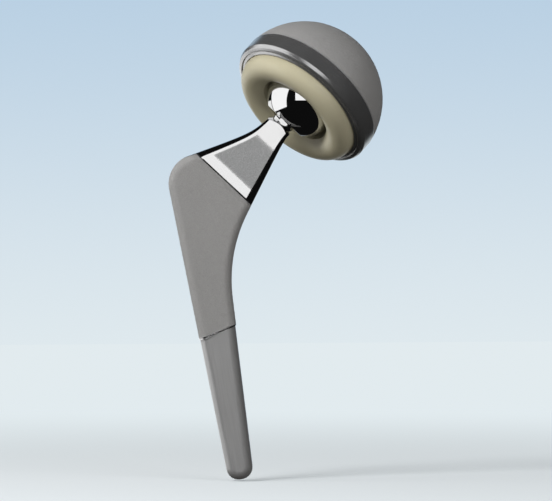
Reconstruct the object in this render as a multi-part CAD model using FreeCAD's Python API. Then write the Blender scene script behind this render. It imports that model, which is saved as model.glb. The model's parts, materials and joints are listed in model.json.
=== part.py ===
# Total hip implant: a collarless wedge stem, its ball head, and the cup that the ball turns in.
# Row frame: origin at the centre of the ball, +X towards the body's midline, +Y to the back, +Z up.
# Lengths are in millimetres and angles in degrees.
import FreeCAD, Part
import math
import os

V = FreeCAD.Vector

# How the two halves stand
cup_inclination = 45.0
cup_anteversion = 20.0
stem_anteversion = 10.0
shaft_lean = 10.0

# Ball head
head_diameter = 28.0
head_flat_distance = 11.0
head_flat_edge_radius = 0.6
bore_bottom_gap = 1.8
bore_mouth_chamfer = 0.6

# Taper that carries the head; distances run down the neck from the ball's centre
taper_cone_angle = 5.667
taper_end_distance = -0.4
taper_base_distance = 12.0
taper_base_diameter = 9.0
taper_end_chamfer = 0.6
taper_clearance = 0.04
undercut_diameter = 8.0
undercut_lead = 0.35

# Neck
neck_shaft_angle = 127.0
neck_top_distance = 12.9
neck_top_bevel_angle = 38.0
neck_top_land_diameter = 8.6
neck_top_width = 9.4
neck_top_thickness = 9.4
neck_base_thickness = 11.0
neck_step_length = 2.6
neck_base_gap = 0.5
neck_lateral_bend = 21.0
neck_lateral_flare = 27.5
neck_lateral_softness = 5.5
neck_medial_bend = 16.5
neck_medial_flare = 16.6
neck_medial_softness = 3.0
neck_top_edge_radius = 1.2
neck_section_count = 10
neck_step_section_count = 4
undercut_edge_radius = 0.2
undercut_root_radius = 0.3

# Stem body
shaft_offset = 48.0
body_thickness = 13.0
body_edge_radius = 3.0
body_taper_start = 52.0
body_face_taper = 1.35
body_face_blend = 400.0
coating_thickness = 0.35
coating_end = 80.0
coating_slope = 12.0
lateral_reach = 8.0
lateral_taper = 1.35
shoulder_radius = 11.0
calcar_radius = 55.0
medial_taper = 3.0
tip_distance = 135.0
tip_width = 10.8
tip_radius = 4.6
driver_thread_diameter = 5.0
driver_hole_depth = 12.0
driver_seat_diameter = 7.4
driver_seat_depth = 1.2
driver_offset = 2.5
driver_mouth_chamfer = 0.5
drill_point_angle = 118.0

# Shell; heights run along the cup's axis towards its mouth, from the ball's centre
shell_diameter = 58.0
shell_wall = 3.85
rim_wall_height = 2.5
rim_inner_height = 4.1
rim_recess_width = 1.5
rim_recess_depth = 0.4
rim_edge_radius = 0.5
rim_inner_chamfer = 0.25
band_height = -3.6
band_recess = 0.25
apex_hole_diameter = 8.0
screw_hole_diameter = 6.8
screw_seat_diameter = 10.4
screw_seat_depth = 1.7
screw_hole_count = 3
screw_hole_tilt = 36.0
screw_hole_spacing = 58.0
screw_cluster_turn = 20.0

# Liner
liner_clearance = 0.1
ball_clearance = 0.06
liner_crest_height = 9.3
liner_nose_radius = 5.2
liner_mouth_height = 6.6
liner_mouth_radius = 14.4
liner_mouth_chamfer = 0.4

# Ring that locks the liner in the shell
ring_height = 0.9
ring_thickness = 1.4
ring_liner_bite = 0.6
ring_shell_bite = 1.0
ring_clearance = 0.1
ring_gap_angle = 14.0

# Plug in the shell's apex hole
plug_clearance = 0.05
plug_inset = 0.3
plug_thickness = 3.0
plug_hex_width = 3.5
plug_hex_depth = 1.8
plug_chamfer = 0.4

head_radius = head_diameter / 2
shell_radius = shell_diameter / 2
shell_inner_radius = shell_radius - shell_wall
liner_radius = shell_inner_radius - liner_clearance
liner_bore_radius = head_radius + ball_clearance
taper_slope = math.tan(math.radians(taper_cone_angle / 2))

# How far a cutting shape runs past what it cuts, and how near two values have to be to count as one
cut_past = 1.0
nothing = 1e-6
same_length = 0.01
same_way_angle = 2.5
broad_face_angle = 45.0
same_way = math.cos(math.radians(same_way_angle))
broadly_that_way = math.cos(math.radians(broad_face_angle))


# How far from a corner its rounding starts, where to_before and to_after point away from the corner
def rounding_run(to_before, to_after, radius):
    return radius / math.tan(to_before.getAngle(to_after) / 2)


# Corners given as (point, rounding) become edges; a rounding of 0 leaves the corner sharp.
# An open run's first and last corners are its ends.
def rounded_edges(corners, closed=True):
    count = len(corners)
    edges = []
    last = None
    first = None
    for index, (point, radius) in enumerate(corners):
        start = middle = end = point
        if radius > 0:
            to_before = (corners[index - 1][0] - point).normalize()
            to_after = (corners[(index + 1) % count][0] - point).normalize()
            run = rounding_run(to_before, to_after, radius)
            inward = (to_before + to_after).normalize()
            start = point + to_before * run
            middle = point + inward * (math.hypot(run, radius) - radius)
            end = point + to_after * run
        if first is None:
            first = start
        if last is not None and (start - last).Length > nothing:
            edges.append(Part.LineSegment(last, start).toShape())
        if radius > 0:
            edges.append(Part.Arc(start, middle, end).toShape())
        last = end
    if closed and (first - last).Length > nothing:
        edges.append(Part.LineSegment(last, first).toShape())
    return edges


def rounded_wire(corners):
    return Part.Wire(rounded_edges(corners))


# A turned piece: edges drawn with x as the radius and z along the axis, spun round the z axis
def turned(edges):
    return Part.Face(Part.Wire(edges)).revolve(V(0, 0, 0), V(0, 0, 1), 360)


# Straight edges through (radius, height) points
def chain(*points):
    ends = [V(radius, 0, height) for radius, height in points]
    return [Part.LineSegment(start, end).toShape() for start, end in zip(ends, ends[1:])]


# An arc round a (radius, height) centre between two angles, counted from the radius's direction
def arc(centre, radius, start_angle, end_angle):
    def at(angle):
        turn = math.radians(angle)
        return V(centre[0] + radius * math.cos(turn), 0, centre[1] + radius * math.sin(turn))
    return Part.Arc(at(start_angle), at((start_angle + end_angle) / 2), at(end_angle)).toShape()


def line_crossing(point_a, direction_a, point_b, direction_b):
    cross = direction_a.x * direction_b.z - direction_a.z * direction_b.x
    gap = point_b - point_a
    along = (gap.x * direction_b.z - gap.z * direction_b.x) / cross
    return point_a + direction_a * along


# Stem frame: x towards the midline, y to the back, z up the shaft, origin at the ball's centre.
# The neck runs down and outwards from the origin in the xz plane.
neck_turn = math.radians(180.0 - neck_shaft_angle)
neck_direction = V(-math.sin(neck_turn), 0, -math.cos(neck_turn))
neck_medial = V(math.cos(neck_turn), 0, -math.sin(neck_turn))
neck_rotation = FreeCAD.Rotation(neck_medial, V(0, -1, 0), neck_direction, "ZXY")


def on_neck(distance, medial=0.0, back=0.0):
    return neck_direction * distance + neck_medial * medial + V(0, back, 0)


# Where the neck's side, seen from the front, would run without its soft bend, and which way
def neck_side(bend, flare, side):
    turn = math.radians(flare)
    way = neck_direction * math.cos(turn) + neck_medial * (side * math.sin(turn))
    return on_neck(bend, side * neck_top_width / 2), way


lateral_line, lateral_way = neck_side(neck_lateral_bend, neck_lateral_flare, -1)
medial_line, medial_way = neck_side(neck_medial_bend, neck_medial_flare, 1)
lateral_side = V(math.tan(math.radians(lateral_taper)), 0, -1).normalize()
medial_side = V(math.tan(math.radians(medial_taper)), 0, 1).normalize()
lateral_point = V(-shaft_offset - lateral_reach, 0, 0)
tip_medial = V(-shaft_offset + tip_width / 2, 0, -tip_distance)
shoulder = line_crossing(lateral_line, lateral_way, lateral_point, lateral_side)
calcar = line_crossing(medial_line, medial_way, tip_medial, medial_side)
shoulder_start = shoulder - lateral_way * rounding_run(lateral_way * -1, lateral_side, shoulder_radius)
calcar_start = calcar - medial_way * rounding_run(medial_way * -1, medial_side * -1, calcar_radius)

# The neck ends just above both of those roundings
neck_base_distance = min(shoulder_start.dot(neck_direction), calcar_start.dot(neck_direction)) - neck_base_gap
neck_step_start = neck_base_distance - neck_step_length


# Half a neck's width beyond its bend: straight at both ends, with a soft bend between
def flared(distance, bend, flare, softness):
    beyond = distance - bend
    spread = (beyond + math.hypot(beyond, softness)) / 2
    return neck_top_width / 2 + spread * math.tan(math.radians(flare))


def lateral_width(distance):
    return flared(distance, neck_lateral_bend, neck_lateral_flare, neck_lateral_softness)


def medial_width(distance):
    return flared(distance, neck_medial_bend, neck_medial_flare, neck_medial_softness)


# The neck thickens slowly down to the step, where it rises to the body's thickness
def neck_thickness(distance):
    share = (distance - neck_top_distance) / (neck_base_distance - neck_top_distance)
    grown = neck_top_thickness + share * (neck_base_thickness - neck_top_thickness)
    step = (distance - neck_step_start) / (neck_base_distance - neck_step_start)
    step = min(1.0, max(0.0, step))
    rise = step * step * (3 - 2 * step)
    return grown + rise * (body_thickness - neck_base_thickness)


def neck_section(distance):
    share = (distance - neck_top_distance) / (neck_base_distance - neck_top_distance)
    radius = neck_top_edge_radius + share * (body_edge_radius - neck_top_edge_radius)
    lateral = -lateral_width(distance)
    medial = medial_width(distance)
    half = neck_thickness(distance) / 2
    return rounded_wire([
        (on_neck(distance, lateral, -half), radius),
        (on_neck(distance, medial, -half), radius),
        (on_neck(distance, medial, half), radius),
        (on_neck(distance, lateral, half), radius),
    ])


# The body's front outline, set in all round below the neck by an inset
def body_outline(inset):
    lateral_start = on_neck(neck_base_distance, inset - lateral_width(neck_base_distance))
    medial_start = on_neck(neck_base_distance, medial_width(neck_base_distance) - inset)
    in_shift = V(inset, 0, 0)
    shoulder_in = line_crossing(lateral_start, lateral_way, lateral_point + in_shift, lateral_side)
    tip_in = tip_medial - in_shift
    tip_lateral_in = line_crossing(lateral_point + in_shift, lateral_side, tip_in, V(1, 0, 0))
    calcar_in = line_crossing(medial_start, medial_way, tip_in, medial_side)
    return [
        (lateral_start, 0),
        (shoulder_in, shoulder_radius),
        (tip_lateral_in, tip_radius),
        (tip_in, tip_radius),
        (calcar_in, calcar_radius),
        (medial_start, 0),
    ]


# The body's thickness seen from the side: even at the top, tapering to the tip
def body_slab(inset):
    half = body_thickness / 2 - inset
    bottom = -tip_distance - body_thickness
    drop = (-body_taper_start - bottom) * math.tan(math.radians(body_face_taper))
    outer = -shaft_offset - tip_distance
    profile = rounded_wire([
        (V(outer, -half, 0), 0),
        (V(outer, half, 0), 0),
        (V(outer, half, -body_taper_start), body_face_blend),
        (V(outer, half - drop, bottom), 0),
        (V(outer, -half + drop, bottom), 0),
        (V(outer, -half, -body_taper_start), body_face_blend),
    ])
    return Part.Face(profile).extrude(V(tip_distance * 2, 0, 0))


def is_long_edge(solid, edge):
    looks = []
    for face in solid.ancestorsOfType(edge, Part.Face):
        middle = edge.valueAt((edge.FirstParameter + edge.LastParameter) / 2)
        u, v = face.Surface.parameter(middle)
        normal = face.normalAt(u, v)
        if normal.dot(neck_direction) < -same_way:
            return False
        looks.append(abs(normal.y) > broadly_that_way)
    return looks[0] != looks[1]


def stem_body(inset):
    prism = Part.Face(rounded_wire(body_outline(inset))).extrude(V(0, body_thickness * 2, 0))
    prism.translate(V(0, -body_thickness, 0))
    solid = prism.common(body_slab(inset)).Solids[0]
    long_edges = [edge for edge in solid.Edges if is_long_edge(solid, edge)]
    return solid.makeFillet(body_edge_radius, long_edges)


# What the upper body keeps of its coated size, down to a slanted line across the shaft
def coated_zone():
    reach = tip_distance
    zone = Part.makeBox(reach * 2, reach * 2, reach * 2, V(-reach, -reach, 0))
    zone.rotate(V(0, 0, 0), V(0, 1, 0), -coating_slope)
    zone.translate(V(-shaft_offset, 0, -coating_end))
    return zone


def evenly(start, end, count):
    return [start + (end - start) * index / (count - 1) for index in range(count)]


# Two lofts that meet where the step starts; the lower one ends on the body's own top edge
def stem_neck(body):
    flare_distances = evenly(neck_top_distance, neck_step_start, neck_section_count)
    step_distances = evenly(neck_step_start, neck_base_distance, neck_step_section_count)
    flare = [neck_section(distance) for distance in flare_distances]
    step = [neck_section(distance) for distance in step_distances[:-1]]
    base = [face for face in body.Faces if face.normalAt(0, 0).dot(neck_direction) < -same_way]
    step.append(base[0].OuterWire)
    return [Part.makeLoft(flare, True, False), Part.makeLoft(step, True, False)]


def taper_radius(distance):
    return taper_base_diameter / 2 - (taper_base_distance - distance) * taper_slope


# Trunnion with a rounded undercut where it meets the neck, drawn along the neck
def trunnion():
    end = taper_end_distance
    end_radius = taper_radius(end)
    base_radius = taper_radius(taper_base_distance)
    root = neck_top_distance + neck_top_width / 2
    profile = [
        (V(0, 0, end), 0),
        (V(end_radius - taper_end_chamfer, 0, end), 0),
        (V(taper_radius(end + taper_end_chamfer), 0, end + taper_end_chamfer), 0),
        (V(base_radius, 0, taper_base_distance), undercut_edge_radius),
        (V(undercut_diameter / 2, 0, taper_base_distance + undercut_lead), undercut_root_radius),
        (V(undercut_diameter / 2, 0, root), 0),
        (V(0, 0, root), 0),
    ]
    return turned(rounded_edges(profile))


# What turning takes off the square neck's top to leave a bevel round the trunnion
def neck_top_waste():
    land = neck_top_land_diameter / 2
    reach = neck_top_width
    fall = (reach - land) * math.tan(math.radians(neck_top_bevel_angle))
    top = neck_top_distance - cut_past
    return turned(chain(
        (land, top), (reach, top), (reach, neck_top_distance + fall), (land, neck_top_distance), (land, top),
    ))


def driver_hole():
    top = line_crossing(lateral_line, lateral_way, V(-shaft_offset + driver_offset, 0, 0), V(0, 0, 1))
    seat = top + V(0, 0, -driver_seat_depth)
    radius = driver_thread_diameter / 2
    mouth = radius + driver_mouth_chamfer
    above = driver_seat_diameter
    point = driver_hole_depth + radius / math.tan(math.radians(drill_point_angle / 2))
    cut = turned(chain(
        (0, above), (driver_seat_diameter / 2, above), (driver_seat_diameter / 2, 0), (mouth, 0),
        (radius, -driver_mouth_chamfer), (radius, -driver_hole_depth), (0, -point), (0, above),
    ))
    cut.translate(seat)
    return cut


def stem():
    body = stem_body(0)
    solid = body.common(coated_zone()).fuse(stem_neck(body) + [stem_body(coating_thickness)])
    solid = solid.cut(along_neck(neck_top_waste()))
    solid = solid.fuse(along_neck(trunnion()))
    return solid.cut(driver_hole()).removeSplitter()


def along_neck(shape):
    shape.Placement = FreeCAD.Placement(V(0, 0, 0), neck_rotation)
    return shape


def head():
    flat = head_flat_distance
    flat_radius = math.sqrt(head_radius ** 2 - flat ** 2)
    ball = Part.makeSphere(head_radius, V(0, 0, 0), V(0, 0, 1))
    keep = Part.makeCylinder(head_diameter, head_radius + flat, V(0, 0, -head_radius), V(0, 0, 1))
    ball = ball.common(keep)
    rim = [edge for edge in ball.Edges if abs(edge.Length - 2 * math.pi * flat_radius) < same_length]
    ball = ball.makeFillet(head_flat_edge_radius, rim)
    bottom = taper_end_distance - bore_bottom_gap
    mouth_radius = taper_radius(flat) + taper_clearance
    above = flat + cut_past
    bore = turned(chain(
        (0, bottom), (taper_radius(bottom) + taper_clearance, bottom),
        (taper_radius(flat - bore_mouth_chamfer) + taper_clearance, flat - bore_mouth_chamfer),
        (mouth_radius + bore_mouth_chamfer, flat), (mouth_radius + bore_mouth_chamfer, above),
        (0, above), (0, bottom),
    ))
    return along_neck(ball.cut(bore))


# The shell in the cup's frame: its axis is z and its mouth looks to +z
def shell():
    inner = shell_inner_radius
    recess = inner + rim_recess_width
    slope = (rim_inner_height - rim_wall_height) / (shell_radius - inner)
    band = shell_radius - band_recess
    apex = apex_hole_diameter / 2

    def rim_height(radius):
        return rim_wall_height + (shell_radius - radius) * slope

    band_angle = math.degrees(math.asin(band_height / shell_radius))
    apex_outer = -math.degrees(math.acos(apex / shell_radius))
    apex_inner = -math.degrees(math.acos(apex / inner))
    dome_edge = shell_radius * math.cos(math.radians(band_angle))
    band_low = shell_radius * math.sin(math.radians(band_angle))
    recess_floor = rim_height(recess) - rim_recess_depth
    lip = rim_height(inner) - rim_recess_depth
    edges = [arc((0, 0), shell_radius, apex_outer, band_angle)]
    edges += rounded_edges([
        (V(dome_edge, 0, band_low), 0),
        (V(band, 0, band_low + band_recess), 0),
        (V(band, 0, rim_wall_height), rim_edge_radius),
        (V(recess, 0, rim_height(recess)), 0),
        (V(recess, 0, recess_floor), 0),
        (V(inner + rim_inner_chamfer, 0, lip), 0),
        (V(inner, 0, lip - rim_inner_chamfer), 0),
        (V(inner, 0, 0), 0),
    ], closed=False)
    edges.append(arc((0, 0), inner, 0, apex_inner))
    edges += chain((apex, inner * math.sin(math.radians(apex_inner))),
                   (apex, shell_radius * math.sin(math.radians(apex_outer))))
    solid = turned(edges)
    solid = solid.cut(ring_groove(inner - ring_thickness, inner + ring_shell_bite + ring_clearance))
    for index in range(screw_hole_count):
        solid = solid.cut(screw_hole(index))
    return solid


def ring_groove(inner, outer):
    half = ring_thickness / 2 + ring_clearance
    low = ring_height - half
    high = ring_height + half
    return turned(chain((inner, low), (outer, low), (outer, high), (inner, high), (inner, low)))


# One screw hole on a ray from the ball's centre, with its conical seat on the inside
def screw_hole(index):
    turn = screw_cluster_turn + (index - (screw_hole_count - 1) / 2) * screw_hole_spacing
    seat_floor = -shell_inner_radius - screw_seat_depth
    seat_radius = screw_seat_diameter / 2
    radius = screw_hole_diameter / 2
    outside = -shell_radius - cut_past
    inside = cut_past - shell_inner_radius
    cut = turned(chain(
        (0, outside), (radius, outside), (radius, seat_floor),
        (seat_radius, seat_floor + seat_radius - radius), (seat_radius, inside), (0, inside), (0, outside),
    ))
    cut.rotate(V(0, 0, 0), V(0, 1, 0), screw_hole_tilt)
    cut.rotate(V(0, 0, 0), V(0, 0, 1), turn)
    return cut


def liner():
    outer = liner_radius
    crest = outer - liner_nose_radius
    nose_height = liner_crest_height - liner_nose_radius
    lip_reach = crest - liner_mouth_radius - liner_mouth_chamfer
    lip_drop = liner_crest_height - liner_mouth_height
    lip_radius = (lip_reach ** 2 + lip_drop ** 2) / (2 * lip_drop)
    lip_angle = 90 + 2 * math.degrees(math.atan2(lip_drop, lip_reach))
    bore = liner_bore_radius
    edges = [arc((0, 0), outer, -90, 0)]
    edges += chain((outer, 0), (outer, nose_height))
    edges.append(arc((crest, nose_height), liner_nose_radius, 0, 90))
    edges.append(arc((crest, liner_crest_height - lip_radius), lip_radius, 90, lip_angle))
    edges += chain((crest - lip_reach, liner_mouth_height),
                   (liner_mouth_radius, liner_mouth_height - liner_mouth_chamfer), (bore, 0))
    edges.append(arc((0, 0), bore, 0, -90))
    edges += chain((0, -bore), (0, -outer))
    return turned(edges).cut(ring_groove(outer - ring_liner_bite - ring_clearance, outer + ring_thickness))


def lock_ring():
    inner = liner_radius - ring_liner_bite
    outer = shell_inner_radius + ring_shell_bite
    half = ring_thickness / 2
    low = ring_height - half
    high = ring_height + half
    profile = Part.Wire(chain((inner, low), (outer, low), (outer, high), (inner, high), (inner, low)))
    ring = Part.Face(profile).revolve(V(0, 0, 0), V(0, 0, 1), 360 - ring_gap_angle)
    ring.rotate(V(0, 0, 0), V(0, 0, 1), screw_cluster_turn)
    return ring


def apex_plug():
    radius = apex_hole_diameter / 2 - plug_clearance
    low = -math.sqrt(shell_radius ** 2 - radius ** 2) + plug_inset
    high = low + plug_thickness
    plug = turned(chain(
        (0, low), (radius - plug_chamfer, low), (radius, low + plug_chamfer),
        (radius, high), (0, high), (0, low),
    ))
    across_corners = plug_hex_width / math.cos(math.radians(30))
    corners = [V(across_corners / 2 * math.cos(math.radians(60 * step)),
                 across_corners / 2 * math.sin(math.radians(60 * step)), high) for step in range(7)]
    socket = Part.Face(Part.makePolygon(corners)).extrude(V(0, 0, -plug_hex_depth))
    return plug.cut(socket)


# Where the two halves stand in the row's frame
stem_rotation = (FreeCAD.Rotation(V(0, 0, 1), -stem_anteversion)
                 * FreeCAD.Rotation(V(0, 1, 0), -shaft_lean))
mouth_turn = math.radians(cup_inclination)
mouth_forward = math.radians(cup_anteversion)
mouth_direction = V(-math.sin(mouth_turn) * math.cos(mouth_forward), -math.sin(mouth_forward),
                    -math.cos(mouth_turn) * math.cos(mouth_forward))
cup_rotation = FreeCAD.Rotation(V(1, 0, 0), V(0, 0, 0), mouth_direction, "ZXY")


def placed(shape, rotation):
    return shape.transformed(FreeCAD.Placement(V(0, 0, 0), rotation).toMatrix())


parts = {
    "femoral_stem": placed(stem(), stem_rotation),
    "ball_head": placed(head(), stem_rotation),
    "cup_liner": placed(liner(), cup_rotation),
    "cup_shell": placed(shell(), cup_rotation),
    "liner_lock_ring": placed(lock_ring(), cup_rotation),
    "apex_hole_plug": placed(apex_plug(), cup_rotation),
}

os.makedirs("parts", exist_ok=True)
for name, shape in parts.items():
    solids = shape.Solids
    whole = solids[0] if len(solids) == 1 else shape
    print(name, len(solids), "solid", "valid" if whole.isValid() else "NOT valid", round(whole.Volume, 1))
    whole.exportStep(os.path.join("parts", name + ".step"))
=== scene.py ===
import json
import math

import bmesh
import bpy
import numpy as np
from mathutils import Matrix, Vector


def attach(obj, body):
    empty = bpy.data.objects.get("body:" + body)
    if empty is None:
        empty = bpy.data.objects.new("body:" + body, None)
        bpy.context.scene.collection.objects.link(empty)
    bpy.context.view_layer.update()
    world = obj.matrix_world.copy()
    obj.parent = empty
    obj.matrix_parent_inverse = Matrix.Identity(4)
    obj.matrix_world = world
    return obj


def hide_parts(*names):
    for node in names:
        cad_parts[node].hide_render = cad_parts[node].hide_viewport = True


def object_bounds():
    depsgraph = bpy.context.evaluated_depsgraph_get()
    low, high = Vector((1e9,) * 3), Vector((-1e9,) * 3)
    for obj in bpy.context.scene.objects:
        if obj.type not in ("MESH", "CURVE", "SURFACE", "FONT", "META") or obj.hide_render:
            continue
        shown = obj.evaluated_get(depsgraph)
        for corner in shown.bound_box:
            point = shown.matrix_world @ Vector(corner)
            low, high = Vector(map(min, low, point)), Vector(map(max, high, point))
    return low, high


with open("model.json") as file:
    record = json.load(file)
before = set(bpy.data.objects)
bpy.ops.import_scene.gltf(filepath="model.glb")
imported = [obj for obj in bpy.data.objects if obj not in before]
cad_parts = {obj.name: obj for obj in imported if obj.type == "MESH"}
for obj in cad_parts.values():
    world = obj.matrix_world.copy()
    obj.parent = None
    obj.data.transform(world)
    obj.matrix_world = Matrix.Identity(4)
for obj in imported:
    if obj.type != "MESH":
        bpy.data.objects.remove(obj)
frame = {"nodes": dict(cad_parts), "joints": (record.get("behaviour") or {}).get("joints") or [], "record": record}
cadBox = [list(corner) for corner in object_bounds()]
joints = {joint["name"]: joint for joint in frame["joints"]}
mounts = {mount["name"]: mount for mount in frame["record"]["mounts"]}
print("frame loaded:", sorted(frame["nodes"]))

mm = 0.001

# The implant's own directions, all through the ball's centre at the origin
neckAxis = Vector(joints["neck_turn"]["axis"]).normalized()         # down the neck
domeAxis = Vector(joints["cup_turn"]["axis"]).normalized()          # out through the dome's top
shaftUp = Vector(mounts["driver_thread"]["axis"]).normalized()
stemBack = neckAxis.cross(shaftUp).normalized()
stemMedial = stemBack.cross(shaftUp)
neckMedial = neckAxis.cross(stemBack)


def smoothStep(value, low, high):
    share = min(1.0, max(0.0, (value - low) / (high - low)))
    return share * share * (3 - 2 * share)


# 0 to 1 over a span that is given from a starting value
def fadeFrom(value, start, span):
    return smoothStep(value, start + span[0], start + span[1])


# Profiles are points in mm, with arcs and roundings at an even spacing
def arcPoints(centre, radius, startAngle, endAngle, spacing):
    length = abs(math.radians(endAngle - startAngle)) * radius
    count = max(2, math.ceil(length / spacing))
    turns = [math.radians(startAngle + (endAngle - startAngle) * i / count) for i in range(count + 1)]
    return [Vector((centre[0] + radius * math.cos(t), centre[1] + radius * math.sin(t))) for t in turns]


def roundedPath(corners, spacing, closed=False):
    # corners are (x, z, rounding); the first and last stay sharp on an open path
    points = []
    count = len(corners)
    for i, (x, z, rounding) in enumerate(corners):
        here = Vector((x, z))
        inside = closed or 0 < i < count - 1
        if rounding > 0 and inside:
            before = (Vector(corners[i - 1][:2]) - here).normalized()
            after = (Vector(corners[(i + 1) % count][:2]) - here).normalized()
            half = before.angle(after) / 2
            centre = here + (before + after).normalized() * (rounding / math.sin(half))
            run = rounding / math.tan(half)
            first = here + before * run - centre
            sweep = first.angle_signed(here + after * run - centre)
            steps = max(3, math.ceil(abs(sweep) * rounding / min(spacing, rounding * 0.35)))
            for k in range(steps + 1):
                turned = Matrix.Rotation(-sweep * k / steps, 2) @ first
                points.append(centre + turned)
        else:
            points.append(here)
    return fillRuns(points, spacing, closed)


def fillRuns(points, spacing, closed=False):
    filled = []
    ends = points[1:] + (points[:1] if closed else [])
    for start, end in zip(points, ends):
        count = max(1, math.ceil((end - start).length / spacing))
        filled += [start.lerp(end, k / count) for k in range(count)]
    return filled if closed else filled + [points[-1]]


def withoutRepeats(points):
    kept = [points[0]]
    for point in points[1:]:
        if (point - kept[-1]).length > 1e-4:
            kept.append(point)
    return kept


def meshObject(name, vertices, faces):
    mesh = bpy.data.meshes.new(name)
    mesh.from_pydata([tuple(v) for v in vertices], [], faces)
    piece = bpy.data.objects.new(name, mesh)
    bpy.context.scene.collection.objects.link(piece)
    tidyMesh(piece)
    return piece


def tidyMesh(piece, sharpAngle=30, merge=0.002 * mm):
    work = bmesh.new()
    work.from_mesh(piece.data)
    bmesh.ops.remove_doubles(work, verts=work.verts, dist=merge)
    bmesh.ops.recalc_face_normals(work, faces=work.faces)
    work.to_mesh(piece.data)
    work.free()
    piece.data.polygons.foreach_set("use_smooth", [True] * len(piece.data.polygons))
    piece.data.set_sharp_from_angle(angle=math.radians(sharpAngle))
    piece.data.update()


# Faces between rows of points that each close on themselves; a ringed grid also joins last row and first
def gridFaces(rows, columns, ringed=False):
    faces = []
    for i in range(rows if ringed else rows - 1):
        here, there = i * columns, (i + 1) % rows * columns
        for k in range(columns):
            nextK = (k + 1) % columns
            faces.append((here + k, here + nextK, there + nextK, there + k))
    return faces


# Spins a closed (radius, height) profile in mm round an axis through the ball's centre
def turnedPiece(name, profile, axis, segments):
    side = axis.orthogonal().normalized()
    other = axis.cross(side)
    vertices = []
    for radius, height in profile:
        for k in range(segments):
            turn = 2 * math.pi * k / segments
            outward = side * math.cos(turn) + other * math.sin(turn)
            vertices.append((outward * radius + axis * height) * mm)
    return meshObject(name, vertices, gridFaces(len(profile), segments, ringed=True))


def cutAway(piece, cutters):
    for cutter in cutters:
        cut = piece.modifiers.new("cut", "BOOLEAN")
        cut.operation = "DIFFERENCE"
        cut.solver = "EXACT"
        cut.object = cutter
    bakeModifiers(piece)
    for cutter in cutters:
        bpy.data.meshes.remove(cutter.data)


def bakeModifiers(piece):
    depsgraph = bpy.context.evaluated_depsgraph_get()
    made = bpy.data.meshes.new_from_object(piece.evaluated_get(depsgraph))
    piece.modifiers.clear()
    old = piece.data
    piece.data = made
    made.name = piece.name
    bpy.data.meshes.remove(old)


def setAttribute(piece, name, values):
    attribute = piece.data.attributes.new(name, "FLOAT", "POINT")
    attribute.data.foreach_set("value", np.asarray(values, np.float32))


# One wrapped node socket, with its maths written as Python
class Wire:
    def __init__(self, tree, socket=None):
        self.tree = tree
        self.socket = socket

    def add(self, kind, settings=None, inputs=None, output=0):
        node = self.tree.nodes.new(kind)
        for name, value in (settings or {}).items():
            setattr(node, name, value)
        for name, value in (inputs or {}).items():
            self.feed(node.inputs[name], value)
        return Wire(self.tree, node.outputs[output])

    def feed(self, socket, value):
        if isinstance(value, Wire):
            self.tree.links.new(value.socket, socket)
        else:
            socket.default_value = value

    def maths(self, operation, first, second=None):
        inputs = {0: first} if second is None else {0: first, 1: second}
        return self.add("ShaderNodeMath", {"operation": operation}, inputs)

    def __add__(self, other):
        return self.maths("ADD", self, other)

    def __radd__(self, other):
        return self.maths("ADD", other, self)

    def __sub__(self, other):
        return self.maths("SUBTRACT", self, other)

    def __rsub__(self, other):
        return self.maths("SUBTRACT", other, self)

    def __mul__(self, other):
        return self.maths("MULTIPLY", self, other)

    def __rmul__(self, other):
        return self.maths("MULTIPLY", other, self)

    def __truediv__(self, other):
        return self.maths("DIVIDE", self, other)

    def __rtruediv__(self, other):
        return self.maths("DIVIDE", other, self)

    def __abs__(self):
        return self.maths("ABSOLUTE", self)

    def root(self):
        return self.maths("SQRT", self)

    def waves(self, pitch):
        return self.maths("SINE", self * (2 * math.pi / pitch))

    def least(self, other):
        return self.maths("MINIMUM", self, other)

    def most(self, other):
        return self.maths("MAXIMUM", self, other)

    # 0 below low and 1 above high, smooth between
    def step(self, low, high):
        return self.add("ShaderNodeMapRange", {"interpolation_type": "SMOOTHSTEP"},
                        {"Value": self, "From Min": low, "From Max": high})

    # how far a place lies along a direction from the ball's centre, in mm
    def along(self, direction):
        return self.add("ShaderNodeVectorMath", {"operation": "DOT_PRODUCT"},
                        {0: self, 1: tuple(direction)}, "Value") * (1 / mm)

    # how far it lies from the line along a direction through the ball's centre, in mm
    def aside(self, direction):
        height = self.along(direction)
        out = self.add("ShaderNodeVectorMath", {"operation": "LENGTH"}, {0: self}, "Value") * (1 / mm)
        return (out * out - height * height).most(0.01).root()

    def noise(self, size, detail=2.0, roughness=0.5):
        inputs = {"Vector": self, "Scale": 1 / (size * mm), "Detail": detail, "Roughness": roughness}
        return self.add("ShaderNodeTexNoise", {}, inputs, "Fac")

    def cells(self, size):
        return self.add("ShaderNodeTexVoronoi", {}, {"Vector": self, "Scale": 1 / (size * mm)}, "Distance")

    # share 0 gives the first colour or number, and 1 the second
    def blend(self, share, first, second, kind="Color"):
        node = self.tree.nodes.new("ShaderNodeMix")
        node.data_type = {"Color": "RGBA", "Float": "FLOAT"}[kind]
        inlets = {socket.identifier: socket for socket in node.inputs}
        outlets = {socket.identifier: socket for socket in node.outputs}
        self.feed(inlets["Factor_Float"], share)
        self.feed(inlets["A_" + kind], first)
        self.feed(inlets["B_" + kind], second)
        return Wire(self.tree, outlets["Result_" + kind])


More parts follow.
